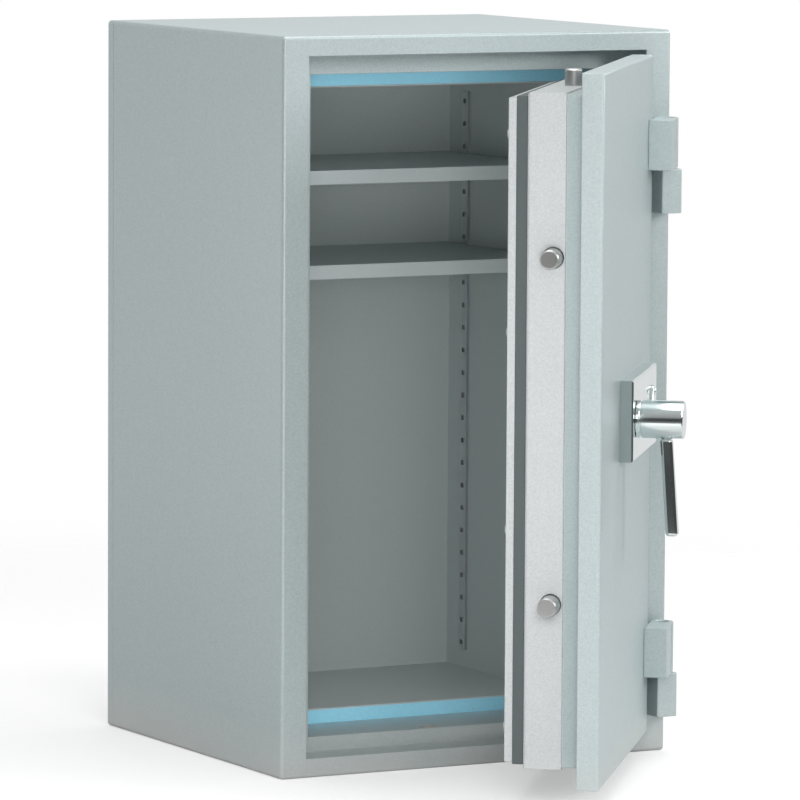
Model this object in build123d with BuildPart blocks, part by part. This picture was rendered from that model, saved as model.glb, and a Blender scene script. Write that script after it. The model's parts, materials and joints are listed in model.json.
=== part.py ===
from build123d import *
import os
from math import cos, radians, sin

# A document safe cabinet: a filled steel body with a stepped door frame, two shelves,
# and a thick door on two pin hinges whose boltwork is drawn by a lever handle.
# The origin is on the floor under the middle of the body. The front faces -Y and the
# right-hand side, where the hinges are, is +X. All sizes are in millimetres.
# A depth is counted backwards from the front face, so a depth below zero stands proud.

# Body
body_width = 460.0
body_depth = 420.0
body_height = 770.0
shell_sheet = 2.5
edge_radius = 4.0
front_rim = 12.0
back_rim = 15.0
rim_relief = 0.5

# Door frame, from the front face inwards
frame_face = 3.0
frame_sheet = 2.0
side_lip = 30.0
top_lip = 21.0
bottom_lip = 20.0
ledge_depth = 42.0
side_step = 23.0
top_step = 21.0
bottom_step = 15.5
throat_depth = 124.5
seal_frame_sheet = 3.0

# Inner box
cavity_side_lip = 12.0
cavity_top_lip = 18.5
cavity_bottom_lip = 15.5
back_wall = 50.0
liner_sheet = 1.5

# Shelves and their rails
shelf_height = 15.0
shelf_sheet = 1.2
shelf_setback = 6.0
shelf_back_gap = 2.0
shelf_side_gap = 1.0
rail_thickness = 3.0
rail_width = 14.0
rail_inset = 40.0
rail_end_gap = 20.0
slot_pitch = 25.0
slot_height = 5.0
slot_width = 7.0
first_slot = 76.5
upper_shelf_slot = 21
lower_shelf_slot = 17
clip_reach = 10.0
clip_thickness = 3.0
clip_width = 12.0

# Hinges
pin_offset = 11.5
hinge_block_width = 24.0
hinge_block_thickness = 25.0
frame_block_height = 47.0
door_block_height = 53.0
door_block_reach = 56.5
lower_hinge_height = 40.0
upper_hinge_height = 577.0
pin_radius = 7.5
pin_recess = 6.0
pin_socket = 38.0
washer_thickness = 1.0
washer_radius = 10.5
block_corner = 1.5
pin_chamfer = 1.0
door_angle = 52.8

# Door leaf
door_side_gap = 2.0
door_end_gap = 4.0
leaf_thickness = 23.0
leaf_sheet = 3.0
leaf_edge_radius = 3.0
casing_side_gap = 8.0
casing_end_gap = 4.5
neck_inset = 2.0
casing_depth = 81.5
casing_sheet = 2.0
casing_flange = 4.0
casing_flange_width = 19.0
casing_edge_radius = 3.5
seal_inset = 4.0
cover_front = 93.0
cover_inset = 6.0
cover_thickness = 8.5
cover_sheet = 1.5
cover_edge_radius = 1.2
board_front = 70.0
board_edge_gap = 0.5

# Boltwork
handle_x = -26.0
handle_z = 383.0
bolt_depth = 54.5
side_bolt_radius = 10.0
end_bolt_radius = 9.0
side_bolt_spacing = 350.0
side_throw = 28.0
end_throw = 17.0
bolt_chamfer = 1.5
side_bolt_length = 79.0
end_bolt_length = 72.0
bar_width = 16.0
bar_thickness = 14.0
bar_overlap = 12.0
stud_radius = 5.0
arm_thickness = 4.0
arm_width = 22.0
arm_corner = 3.0
rod_width = 20.0
rod_thickness = 5.0
rod_depth = 52.0
follower_radius = 4.0
follower_end_margin = 8.0
follower_lead = 1.0
guide_length = 20.0
guide_margin = 6.0
guide_cover = 4.0
pocket_margin = 2.0

# Cam disc
cam_front = 34.0
cam_thickness = 5.0
cam_margin = 8.0
cam_inner_radius = 22.0
cam_hub_radius = 13.0
cam_hub_rise = 4.0
cam_turn = 90.0

# Spindle
spindle_radius = 8.0
square_size = 10.0
spindle_end = 47.0
shoulder_lead = 1.0
spindle_reach = 30.0
bush_wall = 4.0
bush_flange = 3.0
bush_flange_radius = 17.0
clip_ring_radius = 9.0
clip_ring_thickness = 1.5

# Lock and its plate
plate_width = 195.0
plate_height = 84.0
plate_thickness = 14.0
plate_left_reach = 32.0
plate_edge_radius = 1.5
plate_bore_radius = 11.0
key_x = 95.0
keyhole_radius = 4.0
keyhole_slot = 3.5
keyhole_drop = 10.0
key_tube_wall = 1.5
lock_case_width = 84.0
lock_case_height = 76.0
lock_case_thickness = 24.0
lock_case_radius = 3.0
drill_plate_margin = 6.0
drill_plate_thickness = 4.0

# Handle
barrel_radius = 19.5
barrel_length = 48.5
barrel_chamfer = 1.2
groove_start = 4.0
groove_width = 1.5
groove_depth = 1.2
lever_length = 100.0
lever_thickness = 12.5
lever_root_width = 14.0
lever_end_width = 20.0
lever_corner = 4.0
lever_root_offset = 30.5
lever_splay = 7.0
lever_stem_radius = 5.0
lever_stem_length = 10.0
lever_stem_root = 2.0
lever_end_chamfer = 1.5

# Keyhole cover
cover_disc_radius = 11.0
cover_pivot_radius = 6.0
cover_pivot_rise = 17.0
cover_disc_thickness = 2.5
cover_disc_chamfer = 0.6
rivet_radius = 2.5
rivet_head_radius = 4.0
rivet_head_height = 1.6
rivet_chamfer = 0.9
rivet_depth = 5.0

# Clearances
press_fit = 0.02
running_fit = 0.06
slide_fit = 0.1
loose_fit = 0.75
follower_fit = 0.25
face_gap = 0.3


def depth_plane(depth):
    """Plane across the safe at a depth behind the front face, facing outwards."""
    return Plane.XZ.offset(body_depth / 2 - depth)


def y_at(depth):
    """Y of a depth behind the front face."""
    return depth - body_depth / 2


# The door stands open about the hinge pins, so its planes are turned with it.
hinge_x = body_width / 2 - pin_offset
hinge_y = y_at(-hinge_block_thickness / 2)
opened = Location((hinge_x, hinge_y, 0), (0, 0, door_angle)) * Location((-hinge_x, -hinge_y, 0))


def turned(plane):
    """A plane of the closed door, carried to where the door stands open."""
    return Plane(opened * plane.location)


def door_depth(depth):
    """The door's own plane at a depth behind its front face, facing outwards."""
    return turned(depth_plane(depth))


def door_side(x):
    """The door's own plane across its width, facing the hinge side."""
    return turned(Plane.YZ.offset(x))


def door_level(z):
    """The door's own level plane, facing up."""
    return turned(Plane.XY.offset(z))


def block(plane, centre, size, length, mode=Mode.ADD, corner=0.0):
    """Rectangular block that rises from a plane, with optional round corners."""
    with BuildSketch(plane) as outline:
        with Locations(centre):
            if corner > 0:
                RectangleRounded(size[0], size[1], corner)
            else:
                Rectangle(size[0], size[1])
    extrude(outline.sketch, amount=length, mode=mode)


def rod(plane, centre, radius, length, mode=Mode.ADD):
    """Round rod that rises from a plane."""
    with BuildSketch(plane) as outline:
        with Locations(centre):
            Circle(radius)
    extrude(outline.sketch, amount=length, mode=mode)


def middle(low, high):
    """Middle of two values."""
    return (low + high) / 2


def save(piece, name):
    """Label a finished piece and write it to its own file."""
    piece.label = name
    export_step(piece, "parts/" + name + ".step")


os.makedirs("parts", exist_ok=True)

# Rectangles of the body, from the front face inwards: the door opening, the throat
# behind the ledge, and the mouth of the inner box
body_centre = (0, body_height / 2)
body_size = (body_width, body_height)
inner_size = (body_width - 2 * shell_sheet, body_height - 2 * shell_sheet)

opening_low = bottom_lip
opening_high = body_height - top_lip
opening_centre = (0, middle(opening_low, opening_high))
opening_size = (body_width - 2 * side_lip, opening_high - opening_low)

throat_half = opening_size[0] / 2 - side_step
throat_low = opening_low + bottom_step
throat_high = opening_high - top_step
throat_centre = (0, middle(throat_low, throat_high))
throat_size = (2 * throat_half, throat_high - throat_low)

cavity_half = throat_half - cavity_side_lip
cavity_low = throat_low + cavity_bottom_lip
cavity_high = throat_high - cavity_top_lip
cavity_centre = (0, middle(cavity_low, cavity_high))
cavity_size = (2 * cavity_half, cavity_high - cavity_low)
cavity_back = body_depth - back_wall


def grown(size, margin):
    """A rectangle's size with a margin added all round."""
    return (size[0] + 2 * margin, size[1] + 2 * margin)


throat_outer = grown(throat_size, frame_sheet)
liner_outer = grown(cavity_size, liner_sheet)

# Rectangles of the door
leaf_half = opening_size[0] / 2 - door_side_gap
leaf_low = opening_low + door_end_gap
leaf_high = opening_high - door_end_gap
leaf_centre = (0, middle(leaf_low, leaf_high))
leaf_size = (2 * leaf_half, leaf_high - leaf_low)

casing_half = throat_half - casing_side_gap
casing_low = throat_low + casing_end_gap
casing_high = throat_high - casing_end_gap
casing_centre = (0, middle(casing_low, casing_high))
casing_size = (2 * casing_half, casing_high - casing_low)

cover_back = cover_front + cover_thickness
cover_size = grown(casing_size, -cover_inset)
flange_hole = grown(casing_size, -casing_flange_width)

side_bolt_levels = (handle_z + side_bolt_spacing / 2, handle_z - side_bolt_spacing / 2)
side_tip = -casing_half - side_throw
upper_tip = casing_high + end_throw
lower_tip = casing_low - end_throw

# Outer shell: one folded sleeve round the body
with BuildPart() as outer_shell:
    sleeve_length = body_depth - front_rim - back_rim
    sleeve_plane = depth_plane(body_depth - back_rim)
    block(sleeve_plane, body_centre, body_size, sleeve_length, corner=edge_radius)
    block(sleeve_plane, body_centre, inner_size, sleeve_length, Mode.SUBTRACT)
save(outer_shell.part, "outer_shell")

# Back panel: a flanged pan that closes the sleeve
with BuildPart() as back_panel:
    block(depth_plane(body_depth), body_centre, body_size, back_rim, corner=edge_radius)
    fillet(back_panel.faces().sort_by(Axis.Y)[-1].edges(), edge_radius - rim_relief)
    block(depth_plane(body_depth - shell_sheet), body_centre, inner_size, back_rim, Mode.SUBTRACT)
save(back_panel.part, "back_panel")

# Stepped door frame: face, ledge for the door leaf, seat behind it, and throat
with BuildPart() as stepped_frame:
    block(depth_plane(front_rim), body_centre, body_size, front_rim, corner=edge_radius)
    fillet(stepped_frame.faces().sort_by(Axis.Y)[0].edges(), edge_radius - rim_relief)
    block(depth_plane(front_rim), body_centre, inner_size, front_rim - frame_face, Mode.SUBTRACT)
    seat_back = ledge_depth + frame_sheet
    block(depth_plane(seat_back), opening_centre, grown(opening_size, frame_sheet), seat_back)
    block(depth_plane(ledge_depth), opening_centre, opening_size, ledge_depth, Mode.SUBTRACT)
    block(depth_plane(throat_depth), throat_centre, throat_outer, throat_depth - ledge_depth)
    block(depth_plane(throat_depth), throat_centre, throat_size, throat_depth, Mode.SUBTRACT)
    for level in side_bolt_levels:
        rod(Plane.YZ.offset(-throat_half - frame_sheet), (y_at(bolt_depth), level),
            side_bolt_radius + loose_fit, frame_sheet, Mode.SUBTRACT)
    for level in (throat_low - frame_sheet, throat_high):
        rod(Plane.XY.offset(level), (handle_x, y_at(bolt_depth)),
            end_bolt_radius + loose_fit, frame_sheet, Mode.SUBTRACT)

# The frame is welded up from two full-height sides with a head and a sill between
with BuildPart() as frame_left:
    add(stepped_frame.part)
    split(bisect_by=Plane.YZ.offset(-throat_half), keep=Keep.BOTTOM)
save(frame_left.part, "frame_left")

with BuildPart() as frame_right:
    add(stepped_frame.part)
    split(bisect_by=Plane.YZ.offset(throat_half), keep=Keep.TOP)
save(frame_right.part, "frame_right")

with BuildPart() as frame_head:
    add(stepped_frame.part)
    split(bisect_by=Plane.YZ.offset(-throat_half), keep=Keep.TOP)
    split(bisect_by=Plane.YZ.offset(throat_half), keep=Keep.BOTTOM)
    split(bisect_by=Plane.XY.offset(body_height / 2), keep=Keep.TOP)
save(frame_head.part, "frame_head")

with BuildPart() as frame_sill:
    add(stepped_frame.part)
    split(bisect_by=Plane.YZ.offset(-throat_half), keep=Keep.TOP)
    split(bisect_by=Plane.YZ.offset(throat_half), keep=Keep.BOTTOM)
    split(bisect_by=Plane.XY.offset(body_height / 2), keep=Keep.BOTTOM)
save(frame_sill.part, "frame_sill")

# Blue frame at the mouth of the inner box, which the door's seal faces
seal_frame_back = throat_depth + seal_frame_sheet
with BuildPart() as seal_frame:
    block(depth_plane(seal_frame_back), throat_centre, throat_outer, seal_frame_sheet)
    block(depth_plane(seal_frame_back), cavity_centre, liner_outer, seal_frame_sheet,
          Mode.SUBTRACT)
save(seal_frame.part, "seal_frame")

# Inner box, open at the front
with BuildPart() as inner_box:
    box_length = cavity_back + liner_sheet - throat_depth
    block(depth_plane(cavity_back + liner_sheet), cavity_centre, liner_outer, box_length)
    block(depth_plane(cavity_back), cavity_centre, cavity_size, box_length, Mode.SUBTRACT)
save(inner_box.part, "inner_box")

# Fire-resistant filling, cast between the shell, the frame and the inner box
with BuildPart() as body_filling:
    filling_back = body_depth - shell_sheet
    block(depth_plane(filling_back), body_centre, inner_size, filling_back - seat_back)
    block(depth_plane(seal_frame_back), throat_centre, throat_outer, throat_depth,
          Mode.SUBTRACT)
    block(depth_plane(cavity_back + liner_sheet), cavity_centre, liner_outer, body_depth,
          Mode.SUBTRACT)
    for level in side_bolt_levels:
        rod(Plane.YZ.offset(side_tip - pocket_margin), (y_at(bolt_depth), level),
            side_bolt_radius + pocket_margin, -side_tip - throat_half, Mode.SUBTRACT)
    end_pocket = end_bolt_radius + pocket_margin
    rod(Plane.XY.offset(throat_high), (handle_x, y_at(bolt_depth)), end_pocket,
        upper_tip + pocket_margin - throat_high, Mode.SUBTRACT)
    rod(Plane.XY.offset(lower_tip - pocket_margin), (handle_x, y_at(bolt_depth)), end_pocket,
        throat_low - lower_tip + pocket_margin, Mode.SUBTRACT)
save(body_filling.part, "body_filling")

# Slotted rails on the side walls, a front and a rear one on each side
rail_low = cavity_low + rail_end_gap
rail_high = cavity_high - rail_end_gap
rail_depths = (throat_depth + rail_inset, cavity_back - rail_inset)
slot_count = int((rail_high - first_slot - slot_height) // slot_pitch) + 1
slot_middle = first_slot + (slot_count - 1) * slot_pitch / 2 + slot_height / 2
for side_name, side in (("left", -1), ("right", 1)):
    rail_start = min(side * cavity_half, side * (cavity_half - rail_thickness))
    with BuildPart() as shelf_rails:
        for depth in rail_depths:
            block(Plane.YZ.offset(rail_start), (y_at(depth), middle(rail_low, rail_high)),
                  (rail_width, rail_high - rail_low), rail_thickness)
        with BuildSketch(Plane.YZ.offset(rail_start)) as slots:
            for depth in rail_depths:
                with Locations((y_at(depth), slot_middle)):
                    with GridLocations(slot_pitch, slot_pitch, 1, slot_count):
                        Rectangle(slot_width, slot_height)
        extrude(slots.sketch, amount=rail_thickness, mode=Mode.SUBTRACT)
    save(shelf_rails.part, "shelf_rails_" + side_name)

# Shelves: folded trays with their edges turned down, each on four clips
shelf_half = cavity_half - rail_thickness - shelf_side_gap
shelf_front = throat_depth + shelf_setback
shelf_back = cavity_back - shelf_back_gap
shelf_centre = (0, y_at(middle(shelf_front, shelf_back)))
shelf_size = (2 * shelf_half, shelf_back - shelf_front)
for shelf_name, slot in (("upper", upper_shelf_slot), ("lower", lower_shelf_slot)):
    shelf_level = first_slot + slot * slot_pitch + slot_height
    with BuildPart() as shelf:
        block(Plane.XY.offset(shelf_level), shelf_centre, shelf_size, shelf_height)
        block(Plane.XY.offset(shelf_level), shelf_centre, grown(shelf_size, -shelf_sheet),
              shelf_height - shelf_sheet, Mode.SUBTRACT)
    save(shelf.part, "shelf_" + shelf_name)
    with BuildPart() as shelf_clips:
        clip_plane = Plane.XY.offset(shelf_level - clip_thickness)
        for side in (-1, 1):
            for depth in rail_depths:
                arm_middle = cavity_half - rail_thickness - clip_reach / 2
                block(clip_plane, (side * arm_middle, y_at(depth)), (clip_reach, clip_width),
                      clip_thickness)
                tongue_middle = cavity_half - rail_thickness / 2
                block(clip_plane, (side * tongue_middle, y_at(depth)),
                      (rail_thickness, slot_width - slide_fit), clip_thickness)
    save(shelf_clips.part, "shelf_clips_" + shelf_name)

# Hinges: a block welded to the frame, a pin in it, a washer, and the door's own block
for hinge_name, level in (("lower", lower_hinge_height), ("upper", upper_hinge_height)):
    frame_block_top = level + frame_block_height
    door_block_low = frame_block_top + washer_thickness + face_gap
    door_block_top = door_block_low + door_block_height
    pin_low = frame_block_top - pin_socket
    with BuildPart() as frame_block:
        block(Plane.XY.offset(level), (hinge_x, hinge_y),
              (hinge_block_width, hinge_block_thickness), frame_block_height)
        fillet(frame_block.edges().filter_by(Axis.Z).group_by(Axis.Y)[0], block_corner)
        rod(Plane.XY.offset(pin_low), (hinge_x, hinge_y), pin_radius + press_fit, pin_socket,
            Mode.SUBTRACT)
    save(frame_block.part, "frame_hinge_" + hinge_name)
    with BuildPart() as hinge_pin:
        rod(Plane.XY.offset(pin_low), (hinge_x, hinge_y), pin_radius,
            door_block_top - pin_recess - pin_low)
        chamfer(hinge_pin.faces().sort_by(Axis.Z)[-1].edges(), pin_chamfer)
    save(hinge_pin.part, "hinge_pin_" + hinge_name)
    with BuildPart() as hinge_washer:
        rod(Plane.XY.offset(frame_block_top), (hinge_x, hinge_y), washer_radius,
            washer_thickness)
        rod(Plane.XY.offset(frame_block_top), (hinge_x, hinge_y), pin_radius + slide_fit,
            washer_thickness, Mode.SUBTRACT)
    save(hinge_washer.part, "hinge_washer_" + hinge_name)
    with BuildPart() as door_block:
        knuckle = hinge_block_thickness / 2 - face_gap
        foot_low = hinge_x - door_block_reach
        foot_size = (leaf_half - foot_low, hinge_block_thickness)
        neck_size = (hinge_x - leaf_half, 2 * knuckle)
        with BuildSketch(door_level(door_block_low)) as profile:
            with Locations((middle(foot_low, leaf_half), hinge_y)):
                Rectangle(foot_size[0], foot_size[1])
            with Locations((middle(leaf_half, hinge_x), hinge_y)):
                Rectangle(neck_size[0], neck_size[1])
            with Locations((hinge_x, hinge_y)):
                Circle(knuckle)
                Circle(pin_radius + running_fit, mode=Mode.SUBTRACT)
        extrude(profile.sketch, amount=door_block_height)
    save(door_block.part, "door_hinge_" + hinge_name)

# Door leaf: a pan 23 mm deep with rounded outer edges
with BuildPart() as door_leaf:
    block(door_depth(leaf_thickness), leaf_centre, leaf_size, leaf_thickness)
    outward = door_depth(0).z_dir
    outer_face = door_leaf.faces().sort_by(Axis((0, 0, 0), outward))[-1]
    fillet(outer_face.edges(), leaf_edge_radius)
    block(door_depth(leaf_thickness), leaf_centre, grown(leaf_size, -leaf_sheet),
          leaf_thickness - leaf_sheet, Mode.SUBTRACT)
    rod(door_depth(leaf_sheet), (handle_x, handle_z), spindle_radius + bush_wall, leaf_sheet,
        Mode.SUBTRACT)
    rod(door_depth(leaf_sheet), (key_x, handle_z), keyhole_radius + key_tube_wall, leaf_sheet,
        Mode.SUBTRACT)
save(door_leaf.part, "door_leaf")

# Back sheet that closes the leaf and carries the boltwork
with BuildPart() as leaf_back_sheet:
    back_sheet_size = grown(leaf_size, -leaf_sheet)
    block(door_depth(leaf_thickness), leaf_centre, back_sheet_size, leaf_sheet)
    rod(door_depth(leaf_thickness), (handle_x, handle_z), spindle_radius + bush_wall,
        leaf_sheet, Mode.SUBTRACT)
    rod(door_depth(leaf_thickness), (key_x, handle_z), keyhole_radius + key_tube_wall,
        leaf_sheet, Mode.SUBTRACT)
save(leaf_back_sheet.part, "leaf_back_sheet")

# Hardened plate behind the lock and handle, against drilling
plate_middle_x = handle_x - plate_left_reach + plate_width / 2
plate_centre = (plate_middle_x, handle_z)
drill_plate_size = grown((plate_width, plate_height), drill_plate_margin)
drill_plate_back = leaf_sheet + drill_plate_thickness
with BuildPart() as drill_plate:
    block(door_depth(drill_plate_back), plate_centre, drill_plate_size, drill_plate_thickness)
    rod(door_depth(drill_plate_back), (handle_x, handle_z), spindle_radius + bush_wall,
        drill_plate_thickness, Mode.SUBTRACT)
    rod(door_depth(drill_plate_back), (key_x, handle_z), keyhole_radius + key_tube_wall,
        drill_plate_thickness, Mode.SUBTRACT)
save(drill_plate.part, "drill_plate")

# Board that fills the leaf
board_back = leaf_thickness - leaf_sheet
with BuildPart() as leaf_board:
    block(door_depth(board_back), leaf_centre, grown(leaf_size, -leaf_sheet - board_edge_gap),
          board_back - leaf_sheet)
    block(door_depth(drill_plate_back), plate_centre, drill_plate_size, drill_plate_thickness,
          Mode.SUBTRACT)
    for x, radius in ((handle_x, spindle_radius + bush_wall),
                      (key_x, keyhole_radius + key_tube_wall)):
        rod(door_depth(board_back), (x, handle_z), radius, board_back, Mode.SUBTRACT)
save(leaf_board.part, "leaf_board")

# Bolt box: a folded casing behind the leaf, set back a little next to it, with a rear flange
neck_size = grown(casing_size, -neck_inset)
with BuildPart() as door_casing:
    block(door_depth(casing_depth), casing_centre, casing_size, casing_depth - ledge_depth)
    rear_face = door_casing.faces().sort_by(Axis((0, 0, 0), outward))[0]
    fillet(rear_face.edges(), casing_edge_radius)
    block(door_depth(ledge_depth), casing_centre, neck_size, ledge_depth - leaf_thickness)
    block(door_depth(casing_depth - casing_flange), casing_centre,
          grown(casing_size, -casing_sheet - neck_inset), casing_depth, Mode.SUBTRACT)
    block(door_depth(casing_depth), casing_centre, flange_hole, casing_depth, Mode.SUBTRACT)
    for level in side_bolt_levels:
        rod(door_side(-casing_half), (y_at(bolt_depth), level), side_bolt_radius + loose_fit,
            casing_sheet + neck_inset, Mode.SUBTRACT)
    for level in (casing_low, casing_high - casing_sheet - neck_inset):
        rod(door_level(level), (handle_x, y_at(bolt_depth)), end_bolt_radius + loose_fit,
            casing_sheet + neck_inset, Mode.SUBTRACT)
save(door_casing.part, "door_casing")

# Dark seal band between the casing and the inner cover
with BuildPart() as door_seal:
    seal_thickness = cover_front - casing_depth
    block(door_depth(cover_front), casing_centre, grown(casing_size, -seal_inset),
          seal_thickness)
    block(door_depth(cover_front), casing_centre, flange_hole, seal_thickness, Mode.SUBTRACT)
save(door_seal.part, "door_seal")

# Inner cover: a shallow pan over the back of the door
with BuildPart() as inner_cover:
    block(door_depth(cover_back), casing_centre, cover_size, cover_thickness)
    cover_face = inner_cover.faces().sort_by(Axis((0, 0, 0), outward))[0]
    fillet(cover_face.edges(), cover_edge_radius)
    block(door_depth(cover_back - cover_sheet), casing_centre, grown(cover_size, -cover_sheet),
          cover_thickness, Mode.SUBTRACT)
save(inner_cover.part, "inner_cover")

# Board behind the boltwork
with BuildPart() as rear_board:
    block(door_depth(cover_front), casing_centre, grown(flange_hole, -board_edge_gap),
          cover_front - board_front)
save(rear_board.part, "rear_board")

# Guide blocks that carry the bolts inside the casing
casing_wall = casing_sheet + neck_inset
for guide_name, level in (("upper", side_bolt_levels[0]), ("lower", side_bolt_levels[1])):
    with BuildPart() as side_guide:
        guide_half = side_bolt_radius + guide_margin
        guide_back = bolt_depth + side_bolt_radius + guide_cover
        guide_middle = (y_at(middle(leaf_thickness, guide_back)), level)
        block(door_side(-casing_half + casing_wall), guide_middle,
              (guide_back - leaf_thickness, 2 * guide_half), guide_length)
        rod(door_side(-casing_half + casing_wall), (y_at(bolt_depth), level),
            side_bolt_radius + slide_fit, guide_length, Mode.SUBTRACT)
    save(side_guide.part, "side_guide_" + guide_name)

for guide_name, low in (("upper", casing_high - casing_wall - guide_length),
                        ("lower", casing_low + casing_wall)):
    with BuildPart() as end_guide:
        guide_half = end_bolt_radius + guide_margin
        guide_back = bolt_depth + end_bolt_radius + guide_cover
        guide_middle = (handle_x, y_at(middle(leaf_thickness, guide_back)))
        block(door_level(low), guide_middle, (2 * guide_half, guide_back - leaf_thickness),
              guide_length)
        rod(door_level(low), (handle_x, y_at(bolt_depth)), end_bolt_radius + slide_fit,
            guide_length, Mode.SUBTRACT)
    save(end_guide.part, "end_guide_" + guide_name)

# Side bolts, drawn together by one upright bar with a follower arm
bar_side = side_tip + side_bolt_length
bar_depth = bolt_depth - bar_thickness / 2
for bolt_name, level in (("upper", side_bolt_levels[0]), ("lower", side_bolt_levels[1])):
    with BuildPart() as side_bolt:
        rod(door_side(side_tip), (y_at(bolt_depth), level), side_bolt_radius, side_bolt_length)
        tip_face = side_bolt.faces().sort_by(Axis((0, 0, 0), door_side(0).z_dir))[0]
        chamfer(tip_face.edges(), bolt_chamfer)
        rod(door_side(bar_side), (y_at(bolt_depth), level), stud_radius, bar_width)
    save(side_bolt.part, "side_bolt_" + bolt_name)

with BuildPart() as side_bar:
    bar_length = side_bolt_spacing + 2 * (side_bolt_radius + bar_overlap)
    block(door_side(bar_side), (y_at(bolt_depth), handle_z), (bar_thickness, bar_length),
          bar_width)
    for level in side_bolt_levels:
        rod(door_side(bar_side), (y_at(bolt_depth), level), stud_radius + press_fit,
            bar_width, Mode.SUBTRACT)
save(side_bar.part, "side_bar")

side_slot_outer = cam_inner_radius + side_throw
end_slot_outer = cam_inner_radius + end_throw
follower_front = cam_front - follower_lead
with BuildPart() as side_arm:
    arm_end = handle_x - side_slot_outer + follower_end_margin
    block(door_depth(bar_depth), (middle(bar_side, arm_end), handle_z),
          (arm_end - bar_side, arm_width), arm_thickness, corner=arm_corner)
    rod(door_depth(bar_depth), (handle_x - side_slot_outer, handle_z), follower_radius,
        bar_depth - follower_front)
save(side_arm.part, "side_arm")

# End bolts, above and below, each on a flat rod with its own follower
for bolt_name, up in (("top", 1), ("bottom", -1)):
    tip = upper_tip if up > 0 else lower_tip
    bolt_foot = tip - up * end_bolt_length
    follower_level = handle_z + up * end_slot_outer
    rod_foot = follower_level - up * follower_end_margin
    with BuildPart() as end_bolt:
        rod(door_level(min(tip, bolt_foot)), (handle_x, y_at(bolt_depth)), end_bolt_radius,
            end_bolt_length)
        tip_face = end_bolt.faces().sort_by(Axis.Z)[-1 if up > 0 else 0]
        chamfer(tip_face.edges(), bolt_chamfer)
    save(end_bolt.part, bolt_name + "_bolt")
    with BuildPart() as end_rod:
        block(door_depth(rod_depth + rod_thickness), (handle_x, middle(bolt_foot, rod_foot)),
              (rod_width, abs(bolt_foot - rod_foot)), rod_thickness)
        rod(door_depth(rod_depth), (handle_x, follower_level), follower_radius,
            rod_depth - follower_front)
    save(end_rod.part, bolt_name + "_rod")


def cam_slot(start_angle, outer_radius, throw):
    """Spiral slot whose radius falls steadily with the angle, so bolt travel is even."""
    def spiral(t):
        angle = radians(start_angle + t * cam_turn)
        radius = outer_radius - t * throw
        return (handle_x + radius * cos(angle), handle_z + radius * sin(angle))

    steps = 12
    points = [spiral(i / steps) for i in range(steps + 1)]
    slot_half = follower_radius + follower_fit
    with BuildSketch(door_depth(cam_front + cam_thickness)) as slot:
        with BuildLine() as centre_line:
            Spline(points)
        trace(centre_line.line, line_width=2 * slot_half)
        with Locations(points[0], points[-1]):
            Circle(slot_half)
    extrude(slot.sketch, amount=cam_thickness, mode=Mode.SUBTRACT)


# Cam disc on the spindle: a quarter turn of the handle draws all four bolts
cam_radius = side_slot_outer + cam_margin
hub_back = cam_front + cam_thickness + cam_hub_rise
with BuildPart() as cam_disc:
    rod(door_depth(cam_front + cam_thickness), (handle_x, handle_z), cam_radius, cam_thickness)
    rod(door_depth(hub_back), (handle_x, handle_z), cam_hub_radius, cam_hub_rise)
    block(door_depth(hub_back), (handle_x, handle_z),
          (square_size + 2 * press_fit, square_size + 2 * press_fit), hub_back - cam_front,
          Mode.SUBTRACT)
    cam_slot(90, end_slot_outer, end_throw)
    cam_slot(180, side_slot_outer, side_throw)
    cam_slot(270, end_slot_outer, end_throw)
save(cam_disc.part, "cam_disc")

# Bush in the leaf that carries the spindle
bush_back = leaf_thickness + bush_flange
with BuildPart() as spindle_bush:
    rod(door_depth(leaf_thickness), (handle_x, handle_z),
        spindle_radius + bush_wall - press_fit, leaf_thickness)
    rod(door_depth(bush_back), (handle_x, handle_z), bush_flange_radius, bush_flange)
    rod(door_depth(bush_back), (handle_x, handle_z), spindle_radius + running_fit, bush_back,
        Mode.SUBTRACT)
save(spindle_bush.part, "spindle_bush")

# Spindle: round in the bush, square through the cam disc
spindle_front = -plate_thickness - spindle_reach
shoulder = cam_front - shoulder_lead
with BuildPart() as spindle:
    rod(door_depth(shoulder), (handle_x, handle_z), spindle_radius, shoulder - spindle_front)
    block(door_depth(spindle_end), (handle_x, handle_z), (square_size, square_size),
          spindle_end - shoulder)
save(spindle.part, "spindle")

with BuildPart() as spindle_clip:
    ring_back = hub_back + clip_ring_thickness
    rod(door_depth(ring_back), (handle_x, handle_z), clip_ring_radius, clip_ring_thickness)
    block(door_depth(ring_back), (handle_x, handle_z),
          (square_size + 2 * press_fit, square_size + 2 * press_fit), clip_ring_thickness,
          Mode.SUBTRACT)
save(spindle_clip.part, "spindle_clip")

# Lock case on the back sheet, and the tube that leads the key to it
with BuildPart() as lock_case:
    block(door_depth(leaf_thickness + lock_case_thickness), (key_x, handle_z),
          (lock_case_width, lock_case_height), lock_case_thickness, corner=lock_case_radius)
save(lock_case.part, "lock_case")

with BuildPart() as key_tube:
    tube_radius = keyhole_radius + key_tube_wall - press_fit
    rod(door_depth(leaf_thickness), (key_x, handle_z), tube_radius, leaf_thickness)
    rod(door_depth(leaf_thickness), (key_x, handle_z), keyhole_radius, leaf_thickness,
        Mode.SUBTRACT)
save(key_tube.part, "key_tube")

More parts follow.
